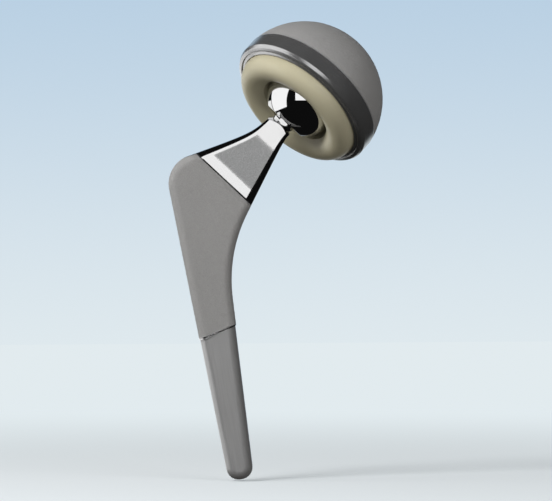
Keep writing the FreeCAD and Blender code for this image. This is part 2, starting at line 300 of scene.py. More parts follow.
# A material of one Principled shader. finish(wire, place) gives what its sockets take, and under
# "Height" a list of bumps, each a height, its distance in mm and its strength
def newMaterial(name, finish, **fixed):
    material = bpy.data.materials.new(name)
    material.use_nodes = True
    tree = material.node_tree
    shader = tree.nodes["Principled BSDF"]
    wire = Wire(tree)
    place = wire.add("ShaderNodeTexCoord", output="Object")
    for socketName, value in fixed.items():
        shader.inputs[socketName.replace("_", " ")].default_value = value
    for socketName, value in finish(wire, place).items():
        if socketName == "Height":
            below = {}
            for height, distance, strength in value:
                inputs = {"Height": height, "Distance": distance * mm, "Strength": strength, **below}
                below = {"Normal": wire.add("ShaderNodeBump", {}, inputs)}
            wire.feed(shader.inputs["Normal"], below["Normal"])
        else:
            wire.feed(shader.inputs[socketName], value)
    return material


def grey(value, warmth=0.0):
    return (value * (1 + warmth), value, value * (1 - warmth), 1.0)


# Rough sprayed titanium: real relief where a surface's "sprayed" attribute says so
spray = {
    "depth": 0.16,          # mm, all of it inwards, so the piece keeps its size
    "grain": 1.0,           # mm
    "fineGrain": 0.8,
    "seed": 7.0,
    "grit": 0.16, "speck": 0.34,        # mm, the sizes of the bumps that are finer than the mesh
}


# The coating's mask, colour, roughness and bumps
def sprayLook(wire, place):
    mask = wire.add("ShaderNodeAttribute", {"attribute_name": "sprayed"}, {}, "Fac")
    grit = place.noise(spray["grit"], 3.0, 0.65)
    grains = 1 - place.cells(spray["speck"])
    colour = wire.blend(grit.step(0.3, 0.7), grey(0.3, 0.01), grey(0.46, 0.015))
    return mask, colour, 0.62 + grit * 0.2, [(grit * mask, 0.2, 0.8), (grains * mask, 0.05, 0.4)]


def sprayTree(material):
    tree = bpy.data.node_groups.new("sprayedRelief", "GeometryNodeTree")
    tree.interface.new_socket("Geometry", in_out="INPUT", socket_type="NodeSocketGeometry")
    tree.interface.new_socket("Geometry", in_out="OUTPUT", socket_type="NodeSocketGeometry")
    sockets = {name: tree.interface.new_socket(name, in_out="INPUT", socket_type="NodeSocketFloat")
               for name in ("Depth", "Grain", "FineGrain", "Seed")}
    inlet = tree.nodes.new("NodeGroupInput")
    outlet = tree.nodes.new("NodeGroupOutput")

    def given(name):
        return Wire(tree, inlet.outputs[name])

    wire = Wire(tree)
    place = wire.add("GeometryNodeInputPosition")
    shifted = wire.add("ShaderNodeVectorMath", {"operation": "ADD"}, {0: place, 1: given("Seed")})
    mask = wire.add("GeometryNodeInputNamedAttribute", {"data_type": "FLOAT"}, {"Name": "sprayed"},
                    "Attribute")
    coarse = wire.add("ShaderNodeTexNoise", {},
                      {"Vector": shifted, "Scale": 1 / given("Grain"), "Detail": 1.0})
    fine = wire.add("ShaderNodeTexVoronoi", {}, {"Vector": shifted, "Scale": 1 / given("FineGrain")})
    relief = (coarse.step(0.3, 0.7) * 0.4 + fine * 0.6) * mask
    normal = wire.add("GeometryNodeInputNormal")
    offset = wire.add("ShaderNodeVectorMath", {"operation": "SCALE"},
                      {0: normal, "Scale": relief * given("Depth") * -1.0})
    moved = wire.add("GeometryNodeSetPosition", {}, {"Geometry": given("Geometry"), "Offset": offset})
    real = wire.add("GeometryNodeRealizeInstances", {}, {"Geometry": moved})
    finished = wire.add("GeometryNodeSetMaterial", {}, {"Geometry": real, "Material": material})
    wire.feed(outlet.inputs["Geometry"], finished)
    return tree, sockets


def sprayed(piece, material):
    tree, sockets = sprayTree(material)
    modifier = piece.modifiers.new("sprayedRelief", "NODES")
    modifier.node_group = tree
    for name, value in (("Depth", spray["depth"] * mm), ("Grain", spray["grain"] * mm),
                        ("FineGrain", spray["fineGrain"] * mm), ("Seed", spray["seed"])):
        modifier[sockets[name].identifier] = value
    bakeModifiers(piece)


def dress(piece, body, node, material=None):
    if material is not None:
        piece.data.materials.clear()
        piece.data.materials.append(material)
    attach(piece, body)
    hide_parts(node)
    print("made", piece.name, len(piece.data.polygons), "faces")


head = {
    "radius": 14.0, "flat": 11.0, "flatEdge": 0.6,
    "boreGap": 0.04, "boreBottom": -2.2, "mouthChamfer": 0.6,
    "taperSlope": math.tan(math.radians(5.667 / 2)),
    "segments": 256, "spacing": 0.35, "edgeSpacing": 0.06, "boreSpacing": 0.5,
}


def ballHead():
    radius, flat, edge = head["radius"], head["flat"], head["flatEdge"]
    inner = radius - edge                       # the edge's rounding touches both the ball and the flat
    edgeCentre = (math.sqrt(inner ** 2 - (flat - edge) ** 2), flat - edge)
    edgeAngle = math.degrees(math.atan2(edgeCentre[1], edgeCentre[0]))
    mouth = trunnion["baseRadius"] - (trunnion["base"] - flat) * head["taperSlope"] + head["boreGap"]
    chamfer = head["mouthChamfer"]
    bottomRadius = mouth - (flat - head["boreBottom"]) * head["taperSlope"]
    profile = arcPoints((0, 0), radius, -90, edgeAngle, head["spacing"])
    profile += arcPoints(edgeCentre, edge, edgeAngle, 90, head["edgeSpacing"])
    profile += fillRuns([Vector((edgeCentre[0], flat)), Vector((mouth + chamfer, flat)),
                         Vector((mouth - chamfer * head["taperSlope"], flat - chamfer)),
                         Vector((bottomRadius, head["boreBottom"])), Vector((0, head["boreBottom"]))],
                        head["boreSpacing"])
    piece = turnedPiece("ballHead", withoutRepeats(profile), neckAxis, head["segments"])

    def finish(wire, place):
        haze = place.noise(9.0, 3.0)
        scuffs = place.noise(0.35, 2.0)
        return {
            "Base Color": wire.blend(haze, grey(0.72, 0.004), grey(0.8, -0.006)),
            "Roughness": 0.02 + haze * 0.025,
            "Height": [(scuffs, 0.0004, 0.12)],
        }

    dress(piece, "head", "ball_head",
          newMaterial("mirrorCobaltChrome", finish, Metallic=1.0))


# The cup's heights run from the ball's centre towards its mouth
liner = {
    "radius": 25.05, "bore": 14.06, "crest": 9.3, "nose": 5.2,
    "mouthHeight": 6.6, "mouthRadius": 14.4, "mouthChamfer": 0.4,
    "grooveHeight": 0.9, "grooveHalf": 0.8, "grooveDepth": 0.7,
    "segments": 256, "spacing": 0.45, "noseSpacing": 0.2,
    "ringPitch": 0.16, "darkShade": (0.445, 0.41, 0.285, 1), "lightShade": (0.505, 0.47, 0.335, 1),
}


def cupLiner():
    outer, nose, bore = liner["radius"], liner["nose"], liner["bore"]
    crest = outer - nose
    noseHeight = liner["crest"] - nose
    reach = crest - liner["mouthRadius"] - liner["mouthChamfer"]
    drop = liner["crest"] - liner["mouthHeight"]
    lip = (reach ** 2 + drop ** 2) / (2 * drop)
    lipAngle = 90 + 2 * math.degrees(math.atan2(drop, reach))
    low = liner["grooveHeight"] - liner["grooveHalf"]
    high = liner["grooveHeight"] + liner["grooveHalf"]
    floor = outer - liner["grooveDepth"]
    gap = liner["spacing"]
    profile = arcPoints((0, 0), outer, -90, 0, gap)
    profile += fillRuns([Vector((outer, low)), Vector((floor, low)), Vector((floor, high)),
                         Vector((outer, high)), Vector((outer, noseHeight))], gap)
    profile += arcPoints((crest, noseHeight), nose, 0, 90, liner["noseSpacing"])
    profile += arcPoints((crest, liner["crest"] - lip), lip, 90, lipAngle, liner["noseSpacing"])
    profile += fillRuns([Vector((liner["mouthRadius"], liner["mouthHeight"] - liner["mouthChamfer"])),
                         Vector((bore, 0))], gap)
    profile += arcPoints((0, 0), bore, 0, -90, gap)
    piece = turnedPiece("cupLiner", withoutRepeats(profile), -domeAxis, liner["segments"])

    def finish(wire, place):
        across = place.aside(-domeAxis)
        rings = (across + place.along(-domeAxis) * 0.7).waves(liner["ringPitch"])
        cloud = place.noise(14.0, 3.0)
        mottle = place.noise(1.1, 4.0, 0.6)
        return {
            "Base Color": wire.blend(cloud * 0.7 + mottle * 0.3, liner["darkShade"], liner["lightShade"]),
            "Roughness": 0.3 + mottle * 0.14,
            "Height": [(rings, 0.004, 0.1), (mottle, 0.02, 0.12)],
        }

    dress(piece, "liner", "cup_liner",
          newMaterial("satinPolyethylene", finish, Specular_IOR_Level=0.45,
                      Subsurface_Weight=0.08, Subsurface_Radius=(1.0, 0.9, 0.7), Subsurface_Scale=1.2 * mm))


shell = {
    "radius": 29.0, "inner": 25.15, "wallHeight": 2.5, "innerHeight": 4.1,
    "recessWidth": 1.5, "recessDepth": 0.4, "innerChamfer": 0.25,
    "edgeWidth": 1.3, "edgeSlope": 60.0,        # the outer edge is turned off at this slope to the rim
    "bandHeight": -3.6, "bandRecess": 0.25, "apexRadius": 4.0,
    "grooveHeight": 0.9, "grooveHalf": 0.8, "grooveDepth": 1.1,
    "seatRadius": 5.2, "seatDepth": 1.7,
    "deepFade": (-0.12, -0.02), "bandFade": (-1.1, -0.3), "holeFade": (0.1, 0.9),      # of the coating
    "segments": 420, "domeSpacing": 0.42, "rimSpacing": 0.5, "spacing": 0.8,
}
screwMounts = [mounts[name] for name in sorted(mounts) if name.startswith("screw_hole")]


def screwCutter(mount):
    radius = mount["dims"]["r_mm"]
    seat = shell["seatRadius"]
    seatFloor = shell["inner"] + shell["seatDepth"]
    below, above = shell["inner"] - 3, shell["radius"] + 2
    corners = [(0, below), (seat, below), (seat, seatFloor - (seat - radius)), (radius, seatFloor),
               (radius, above), (0, above)]
    profile = fillRuns([Vector(corner) for corner in corners], 1.0)
    return turnedPiece("screwCutter", profile, Vector(mount["axis"]).normalized(), 96)


def cupShell():
    radius, inner = shell["radius"], shell["inner"]
    slope = (shell["innerHeight"] - shell["wallHeight"]) / (radius - inner)
    band = radius - shell["bandRecess"]
    recess = inner + shell["recessWidth"]
    apex = shell["apexRadius"]

    def rimHeight(at):
        return shell["wallHeight"] + (radius - at) * slope

    bandAngle = math.degrees(math.asin(shell["bandHeight"] / radius))
    domeEdge = radius * math.cos(math.radians(bandAngle))
    bandLow = shell["bandHeight"]
    lip = rimHeight(inner) - shell["recessDepth"]
    low = shell["grooveHeight"] - shell["grooveHalf"]
    high = shell["grooveHeight"] + shell["grooveHalf"]
    lean = math.radians(shell["edgeSlope"])
    edgeIn = band - shell["edgeWidth"] * math.cos(lean)
    edgeLow = rimHeight(edgeIn) - shell["edgeWidth"] * math.sin(lean)
    apexAngle = math.degrees(math.acos(apex / radius))
    profile = arcPoints((0, 0), radius, -apexAngle, bandAngle, shell["domeSpacing"])
    profile += roundedPath([
        (domeEdge, bandLow, 0), (band, bandLow + shell["bandRecess"], 0.1),
        (band, edgeLow, 0.3), (edgeIn, rimHeight(edgeIn), 0.3),
        (recess, rimHeight(recess), 0.1), (recess, rimHeight(recess) - shell["recessDepth"], 0.08),
        (inner + shell["innerChamfer"], lip, 0.05), (inner, lip - shell["innerChamfer"], 0.05),
        (inner, high, 0.0), (inner + shell["grooveDepth"], high, 0), (inner + shell["grooveDepth"], low, 0),
        (inner, low, 0), (inner, 0, 0)], shell["rimSpacing"])
    profile += arcPoints((0, 0), inner, 0, -math.degrees(math.acos(apex / inner)), shell["spacing"])
    profile += fillRuns([profile[-1], profile[0]], shell["domeSpacing"])
    profile = withoutRepeats(profile)[:-1]
    piece = turnedPiece("cupShell", profile, -domeAxis, shell["segments"])
    cutAway(piece, [screwCutter(mount) for mount in screwMounts])
    tidyMesh(piece, 30, 0.001 * mm)
    strength = []
    holes = [Vector(mount["axis"]).normalized() for mount in screwMounts]
    for vertex in piece.data.vertices:
        place = vertex.co / mm
        height = place.dot(-domeAxis)
        share = fadeFrom(place.length, radius, shell["deepFade"])
        share *= 1 - fadeFrom(height, shell["bandHeight"], shell["bandFade"])
        share *= fadeFrom((place - domeAxis * place.dot(domeAxis)).length, apex, shell["holeFade"])
        for hole, mount in zip(holes, screwMounts):
            if place.dot(hole) > 0:
                away = (place - hole * place.dot(hole)).length
                share *= fadeFrom(away, mount["dims"]["r_mm"], shell["holeFade"])
        strength.append(share)
    setAttribute(piece, "sprayed", strength)

    def finish(wire, place):
        coated, coatColour, coatShine, coatBumps = sprayLook(wire, place)
        patch = place.noise(5.0, 3.0)
        turned = wire.blend(patch, grey(0.46), grey(0.56, -0.004))
        return {
            "Base Color": wire.blend(coated, turned, coatColour),
            "Metallic": 0.88 - coated * 0.6,
            "Roughness": wire.blend(coated, 0.2 + patch * 0.08, coatShine, "Float"),
            "Height": coatBumps,
        }

    material = newMaterial("shellTitanium", finish)
    sprayed(piece, material)
    dress(piece, "shell", "cup_shell")


# The stem is drawn in its own plane, x towards the midline and z up the shaft, in mm
stem = {
    "neckTop": 12.9, "topWidth": 9.4, "topThickness": 9.4, "baseThickness": 11.0,
    "stepStart": 41.86, "neckBase": 44.46,
    "lateralBend": 21.0, "lateralFlare": 27.5, "lateralSoft": 5.5,
    "medialBend": 16.5, "medialFlare": 16.6, "medialSoft": 3.0,
    "topEdge": 1.2, "bodyEdge": 3.0,
    "shaftOffset": 48.0, "thickness": 13.0,
    "taperStart": 52.0, "faceTaper": 1.35, "faceBlend": 400.0,
    "lateralReach": 8.0, "lateralTaper": 1.35, "medialTaper": 3.0,
    "shoulderRadius": 11.0, "calcarRadius": 55.0,
    "tipDistance": 135.0, "tipWidth": 10.8, "tipRadius": 4.6,
    "coating": 0.35, "coatingEnd": 80.0, "coatingSlope": 12.0,
    "stepFade": (0.3, 0.9), "endFade": (0.25, 1.0), "satinFade": (-0.3, 0.1),      # of the coating's two ends
    "bevelAngle": 38.0, "landRadius": 4.3, "bevelBlend": 4.0,
    "faceColumns": 60, "filletColumns": 8, "wallColumns": 16,
    "neckRows": 84, "coatedRows": 205, "tipRows": 90, "sideSpacing": 0.2,
}
trunnion = {
    "end": -0.4, "base": 12.0, "baseRadius": 4.5, "cone": 5.667, "endChamfer": 0.6,
    "undercut": 4.12, "spacing": 0.3,
    "flatHalf": 4.13, "flatTop": 11.15, "flatEnd": 12.74,       # its foot is ground flat, as the neck is
    "flatReach": (3, 6),        # mm that the grinding box goes aside and outwards
    "grooveFade": (10.9, 11.1),                                 # mm down the neck, where turning marks end
}
driverHole = {
    "thread": 2.5, "pitch": 0.8, "threadDepth": 0.45, "depth": 12.0,
    "seatRadius": 3.7, "seatDepth": 1.2, "offset": 2.5, "chamfer": 0.5,
    "above": 8.0, "endCone": 1.5, "segments": 64, "rows": 140,
    "coatFade": (0.3, 1.2), "coatReach": 16,                    # no coating round the mouth, this far down
}


def planePlace(x, z, back=0.0):
    return (stemMedial * x + stemBack * back + shaftUp * z) * mm


def planeAxis(direction):
    return Vector((direction.dot(stemMedial), direction.dot(shaftUp)))


neckWay = planeAxis(neckAxis)
neckSide = planeAxis(neckMedial)


def onNeck(distance, medial):
    return neckWay * distance + neckSide * medial


def flared(distance, bend, flare, softness):
    beyond = distance - bend
    spread = (beyond + math.hypot(beyond, softness)) / 2
    return stem["topWidth"] / 2 + spread * math.tan(math.radians(flare))


def lateralWidth(distance):
    return flared(distance, stem["lateralBend"], stem["lateralFlare"], stem["lateralSoft"])


def medialWidth(distance):
    return flared(distance, stem["medialBend"], stem["medialFlare"], stem["medialSoft"])


def flareWay(flare, side):
    turn = math.radians(flare)
    return neckWay * math.cos(turn) + neckSide * (side * math.sin(turn))


def crossing(pointA, wayA, pointB, wayB):
    between = pointB - pointA
    share = between.cross(wayB) / wayA.cross(wayB)
    return pointA + wayA * share


# The body's two sides from the neck's base down to the middle of the tip, set in by an inset
def bodySides(inset):
    base = stem["neckBase"]
    lateralSide = Vector((math.tan(math.radians(stem["lateralTaper"])), -1))
    medialSide = Vector((-math.tan(math.radians(stem["medialTaper"])), -1))
    lateralFoot = Vector((-stem["shaftOffset"] - stem["lateralReach"] + inset, 0))
    tipMedial = Vector((-stem["shaftOffset"] + stem["tipWidth"] / 2 - inset, -stem["tipDistance"]))
    lateralStart = onNeck(base, inset - lateralWidth(base))
    medialStart = onNeck(base, medialWidth(base) - inset)
    shoulder = crossing(lateralStart, flareWay(stem["lateralFlare"], -1), lateralFoot, lateralSide)
    calcar = crossing(medialStart, flareWay(stem["medialFlare"], 1), tipMedial, medialSide)
    tipLateral = crossing(lateralFoot, lateralSide, tipMedial, Vector((1, 0)))
    tipMiddle = (tipLateral + tipMedial) / 2
    lateral = roundedPath([(*lateralStart, 0), (*shoulder, stem["shoulderRadius"]),
                           (*tipLateral, stem["tipRadius"]), (*tipMiddle, 0)], stem["sideSpacing"])
    medial = roundedPath([(*medialStart, 0), (*calcar, stem["calcarRadius"]),
                          (*tipMedial, stem["tipRadius"]), (*tipMiddle, 0)], stem["sideSpacing"])
    return lateral, medial


# Even steps along a run of points, with the outward direction at each; outside is +1 or -1
def evenSteps(points, count, outside):
    lengths = [0.0]
    for start, end in zip(points, points[1:]):
        lengths.append(lengths[-1] + (end - start).length)

    def at(where):
        return [np.interp(where, lengths, [p[i] for p in points]) for i in (0, 1)]

    places = np.linspace(0, lengths[-1], count)
    xs, zs = at(places)
    reach = 0.12        # mm to each side that a direction is taken over
    aheadX, aheadZ = at(np.clip(places + reach, 0, lengths[-1]))
    behindX, behindZ = at(np.clip(places - reach, 0, lengths[-1]))
    dx, dz = aheadX - behindX, aheadZ - behindZ
    size = np.hypot(dx, dz)
    return [(Vector((x, z)), Vector((-nz, nx)) * outside)
            for x, z, nx, nz in zip(xs, zs, dx / size, dz / size)]


def coatingLine(point):
    slope = math.tan(math.radians(stem["coatingSlope"]))
    return point.y + stem["coatingEnd"] - slope * (point.x + stem["shaftOffset"])


def splitAtCoating(points):
    for i, (start, end) in enumerate(zip(points, points[1:])):
        a, b = coatingLine(start), coatingLine(end)
        if a > 0 >= b:
            cross = start.lerp(end, a / (a - b))
            return points[:i + 1] + [cross], [cross] + points[i + 1:]


def bodyHalf(z, inset):
    down = -stem["taperStart"] - z
    fall = math.radians(stem["faceTaper"])
    run = stem["faceBlend"] * math.tan(fall / 2)
    if down < -run:
        drop = 0.0
    elif down > run:
        drop = down * math.tan(fall)
    else:
        drop = (down + run) ** 2 / (2 * stem["faceBlend"])
    return stem["thickness"] / 2 - inset - drop


def neckHalf(distance):
    share = (distance - stem["neckTop"]) / (stem["neckBase"] - stem["neckTop"])
    grown = stem["topThickness"] + share * (stem["baseThickness"] - stem["topThickness"])
    rise = smoothStep(distance, stem["stepStart"], stem["neckBase"])
    return (grown + rise * (stem["thickness"] - stem["baseThickness"])) / 2


def halfThickness(point, inset):
    distance = point.dot(neckWay)
    return neckHalf(distance) if distance < stem["neckBase"] else bodyHalf(point.y, inset)


# One closed ring of (x, back, z) round the stem between a lateral and a medial point of its sides
def stemRing(lateral, lateralOut, medial, medialOut, edge, inset):
    fillet, wall, face = stem["filletColumns"], stem["wallColumns"], stem["faceColumns"]

    def rounded(side, out, turn):
        at = side - out * (edge * (1 - math.cos(turn)))
        return at, halfThickness(at, inset) - edge * (1 - math.sin(turn))

    def faceRun(start, end, count, back):
        ring = []
        for k in range(count):
            at = start.lerp(end, k / count)
            ring.append((at.x, back * halfThickness(at, inset), at.y))
        return ring

    def filletRun(side, out, back, downwards):
        ring = []
        for k in range(fillet):
            share = k / fillet
            at, depth = rounded(side, out, math.pi / 2 * (1 - share if downwards else share))
            ring.append((at.x, back * depth, at.y))
        return ring

    def wallRun(side, start):
        depth = halfThickness(side, inset) - edge
        return [(side.x, start * depth * (1 - 2 * k / wall), side.y) for k in range(wall)]

    lateralIn = lateral - lateralOut * edge
    medialIn = medial - medialOut * edge
    ring = faceRun(lateralIn, medialIn, face, -1)
    ring += filletRun(medial, medialOut, -1, True) + wallRun(medial, -1)
    ring += filletRun(medial, medialOut, 1, False)
    ring += faceRun(medialIn, lateralIn, face, 1)
    ring += filletRun(lateral, lateralOut, 1, True) + wallRun(lateral, 1)
    ring += filletRun(lateral, lateralOut, -1, False)
    return ring


def neckRing(distance):
    def side(width, sign):
        at = onNeck(distance, sign * width(distance))
        way = onNeck(distance + 0.05, sign * width(distance + 0.05)) - at
        way.normalize()
        return at, Vector((-way.y, way.x)) * sign

    lateral, lateralOut = side(lateralWidth, -1)
    medial, medialOut = side(medialWidth, 1)
    share = (distance - stem["neckTop"]) / (stem["neckBase"] - stem["neckTop"])
    edge = stem["topEdge"] + share * (stem["bodyEdge"] - stem["topEdge"])
    ring = stemRing(lateral, lateralOut, medial, medialOut, edge, 0.0)
    return [toPlace(point) for point in ring]


def toPlace(point):
    return planePlace(point[0], point[2], point[1]) / mm


# Down the neck, the first rings bend up to the bevel that turning leaves round the trunnion
def neckRings():
    slope = math.tan(math.radians(stem["bevelAngle"]))
    rings = []
    for distance in np.linspace(stem["neckTop"], stem["neckBase"], stem["neckRows"]):
        share = 1 - min(1.0, (distance - stem["neckTop"]) / stem["bevelBlend"])
        ring = []
        for point in neckRing(float(distance)):
            across = point - neckAxis * point.dot(neckAxis)
            drop = max(0.0, across.length - stem["landRadius"]) * slope
            ring.append(point + neckAxis * (drop * share))
        rings.append(ring)
    return rings


def bodyRings():
    edge = stem["bodyEdge"]
    rings = []
    for inset, part, rows in ((0.0, 0, stem["coatedRows"]), (stem["coating"], 1, stem["tipRows"])):
        lateral, medial = bodySides(inset)
        lateralSteps = evenSteps(splitAtCoating(lateral)[part], rows, 1)
        medialSteps = evenSteps(splitAtCoating(medial)[part], rows, -1)
        for (left, leftOut), (right, rightOut) in zip(lateralSteps, medialSteps):
            rings.append([toPlace(p) for p in stemRing(left, -leftOut, right, -rightOut, edge, inset)])
    return rings


# A box that grinds one flat into the trunnion's foot; side is 1 at the back and -1 at the front
def flatCutter(side):
    aside, outwards = trunnion["flatReach"]
    vertices = [(neckMedial * across + stemBack * (side * deep) + neckAxis * down) * mm
                for across in (-aside, aside) for deep in (trunnion["flatHalf"], outwards)
                for down in (trunnion["flatTop"], trunnion["flatEnd"])]
    faces = [(0, 1, 3, 2), (4, 6, 7, 5), (0, 4, 5, 1), (2, 3, 7, 6), (0, 2, 6, 4), (1, 5, 7, 3)]
    return meshObject("flatCutter", vertices, faces)


# From the neck's bevel up the trunnion to its end, on the neck top ring's own angles
def trunnionRings(firstRing):
    slope = math.tan(math.radians(trunnion["cone"] / 2))
    end, base = trunnion["end"], trunnion["base"]
    endRadius = trunnion["baseRadius"] - (base - end) * slope
    chamfer = trunnion["endChamfer"]
    profile = roundedPath([
        (0, end, 0), (endRadius - chamfer, end, 0.1), (endRadius + chamfer * slope, end + chamfer, 0.15),
        (trunnion["baseRadius"], base, 0.4), (trunnion["undercut"], stem["neckTop"] - 0.15, 0.1),
        (trunnion["undercut"], stem["neckTop"], 0), (stem["landRadius"], stem["neckTop"], 0),
    ], trunnion["spacing"])
    outward = [point - neckAxis * point.dot(neckAxis) for point in firstRing]
    rings = [[across.normalized() * p.x + neckAxis * p.y for across in outward] for p in profile]
    bevel = math.tan(math.radians(stem["bevelAngle"]))
    for share in (0.25, 0.5, 0.75):
        ring = []
        for across in outward:
            radius = stem["landRadius"] + (across.length - stem["landRadius"]) * share
            height = stem["neckTop"] + max(0.0, radius - stem["landRadius"]) * bevel
            ring.append(across.normalized() * radius + neckAxis * height)
        rings.append(ring)
    return rings


# Where the driver hole's axis meets the shoulder's slope, in the stem's plane
def driverMouth():
    return crossing(onNeck(stem["lateralBend"], -stem["topWidth"] / 2), flareWay(stem["lateralFlare"], -1),
                    Vector((-stem["shaftOffset"] + driverHole["offset"], 0)), Vector((0, 1)))


def driverCutter():
    mouth = driverMouth()
    seat = planePlace(mouth.x, mouth.y - driverHole["seatDepth"]) / mm
    minor, pitch, chamfer = driverHole["thread"], driverHole["pitch"], driverHole["chamfer"]
    seatRadius, segments, count = driverHole["seatRadius"], driverHole["segments"], driverHole["rows"]
    rows = [(driverHole["above"], seatRadius, 0), (0.0, seatRadius, 0), (0.0, minor + chamfer, 0)]
    for k in range(count + 1):
        rows.append((-chamfer - (driverHole["depth"] - chamfer) * k / count, minor, 1))
    vertices = []
    for height, radius, threaded in rows:
        for k in range(segments):
            turn = 2 * math.pi * k / segments
            wave = ((height / pitch - k / segments) % 1) * 2 - 1
            groove = driverHole["threadDepth"] * (1 - abs(wave)) * threaded
            outward = stemMedial * math.cos(turn) + stemBack * math.sin(turn)
            place = outward * (radius + groove) + shaftUp * height
            vertices.append((seat + place) * mm)
    faces = gridFaces(len(rows), segments)
    vertices += [(seat + shaftUp * driverHole["above"]) * mm,
                 (seat - shaftUp * (driverHole["depth"] + driverHole["endCone"])) * mm]
    last = (len(rows) - 1) * segments
    for k in range(segments):
        faces.append((k, (k + 1) % segments, len(vertices) - 2))
        faces.append((last + k, last + (k + 1) % segments, len(vertices) - 1))
    return meshObject("driverCutter", vertices, faces)


def femoralStem():
    neck = neckRings()
    rings = trunnionRings(neck[0]) + neck + bodyRings()[1:]
    vertices = [point * mm for ring in rings for point in ring]
    piece = meshObject("femoralStem", vertices, gridFaces(len(rings), len(neck[0])))
    cutAway(piece, [driverCutter(), flatCutter(1), flatCutter(-1)])
    tidyMesh(piece, 18, 0.001 * mm)
    mouth = planePlace(*driverMouth()) / mm
    strength = []
    for vertex in piece.data.vertices:
        place = vertex.co / mm
        flat = Vector((place.dot(stemMedial), place.dot(shaftUp)))
        share = fadeFrom(place.dot(neckAxis), stem["stepStart"], stem["stepFade"])
        share *= smoothStep(coatingLine(flat), *stem["endFade"])
        away = place - mouth
        away -= shaftUp * away.dot(shaftUp)
        if place.dot(shaftUp) > mouth.dot(shaftUp) - driverHole["coatReach"]:
            share *= fadeFrom(away.length, driverHole["seatRadius"], driverHole["coatFade"])
        strength.append(share)
    setAttribute(piece, "sprayed", strength)
    material = newMaterial("stemTitanium", stemFinish)
    sprayed(piece, material)
    dress(piece, "stem", "femoral_stem")


# Polished neck, blasted patch on its faces, sprayed upper body and satin lower body
blast = {
    "top": 21.6, "topFade": 2.6, "bottom": 37.4, "bottomFade": 1.6,       # mm down the neck
    "lateralEdge": 0.45, "medialEdge": 0.0, "edgeFade": 0.45,             # mm in from the rounded edges
    "grain": 0.34, "groovePitch": 0.28, "facing": (0.97, 0.995), "topRagged": 1.2, "bottomRagged": 0.8,
}


def stemFinish(wire, place):
    down = place.along(neckAxis)
    side = place.along(neckMedial)
    back = place.along(stemBack)

    def half(bend, flare, softness):
        beyond = down - bend
        spread = (beyond + (beyond * beyond + softness ** 2).root()) * 0.5
        return spread * math.tan(math.radians(flare)) + stem["topWidth"] / 2

    lateral = half(stem["lateralBend"], stem["lateralFlare"], stem["lateralSoft"]) + side
    medial = half(stem["medialBend"], stem["medialFlare"], stem["medialSoft"]) - side
    share = (down - stem["neckTop"]) / (stem["neckBase"] - stem["neckTop"])
    edge = share * (stem["bodyEdge"] - stem["topEdge"]) + stem["topEdge"]
    inside = (lateral - blast["lateralEdge"]).least(medial - blast["medialEdge"]) - edge
    normal = wire.add("ShaderNodeTexCoord", output="Normal")
    facing = abs(wire.add("ShaderNodeVectorMath", {"operation": "DOT_PRODUCT"},
                          {0: normal, 1: tuple(stemBack)}, "Value"))
    mottle = place.noise(blast["grain"], 3.0, 0.6)
    top, bottom = blast["top"], blast["bottom"]
    blasted = (down + mottle * blast["topRagged"]).step(top, top + blast["topFade"])
    lowerEnd = (down + mottle * blast["bottomRagged"]).step(bottom, bottom + blast["bottomFade"])
    blasted = blasted * (1 - lowerEnd)
    blasted = blasted * inside.step(0, blast["edgeFade"]) * facing.step(*blast["facing"])
    coated, coatColour, coatShine, coatBumps = sprayLook(wire, place)
    height = place.along(shaftUp)
    x = place.along(stemMedial)
    slope = math.tan(math.radians(stem["coatingSlope"]))
    above = height + stem["coatingEnd"] - (x + stem["shaftOffset"]) * slope
    lower = 1 - above.step(*stem["satinFade"])
    taper = 1 - down.step(*trunnion["grooveFade"])
    patch = place.noise(6.0, 3.0)
    stretched = wire.add("ShaderNodeCombineXYZ", {}, {"X": x * 2.2, "Y": back * 2.2, "Z": height * 0.06})
    drawn = wire.add("ShaderNodeTexNoise", {}, {"Vector": stretched, "Scale": 1.0, "Detail": 3.0}, "Fac")
    grooves = down.waves(blast["groovePitch"])
    polished = wire.blend(patch, grey(0.66, 0.004), grey(0.74, -0.004))
    peened = wire.blend(mottle.step(0.25, 0.75), grey(0.34, -0.01), grey(0.56, -0.01))
    satin = wire.blend(drawn, grey(0.46), grey(0.6))
    colour = wire.blend(blasted, polished, peened)
    colour = wire.blend(lower, colour, satin)
    shine = wire.blend(blasted, 0.05 + patch * 0.04, 0.42 + mottle * 0.16, "Float")
    shine = wire.blend(lower, shine, 0.3 + drawn * 0.14, "Float")
    shine = wire.blend(taper, shine, 0.26, "Float")
    bumps = [(grooves * taper, 0.02, 0.35), (mottle * blasted, 0.05, 0.5), (drawn * lower, 0.02, 0.25)]
    return {
        "Base Color": wire.blend(coated, colour, coatColour),
        "Metallic": 1 - (blasted * 0.5).most(lower * 0.35).most(coated * 0.7),
        "Roughness": wire.blend(coated, shine, coatShine, "Float"),
        "Height": bumps + coatBumps,
    }


# Ring and plug keep their CAD meshes, with turning marks 0.2 mm apart
def turnedTitanium(axis, pitch=0.2):
    def finish(wire, place):
        grooves = (place.aside(axis) + place.along(axis)).waves(pitch)
        patch = place.noise(2.0, 3.0)
        return {
            "Base Color": wire.blend(patch, grey(0.44), grey(0.54)),
            "Roughness": 0.26 + patch * 0.12,
            "Height": [(grooves, 0.006, 0.2)],
        }
    return finish


def dressNode(name, material):
    node = frame["nodes"][name]
    node.data.materials.clear()
    node.data.materials.append(material)
    print("dressed", name)


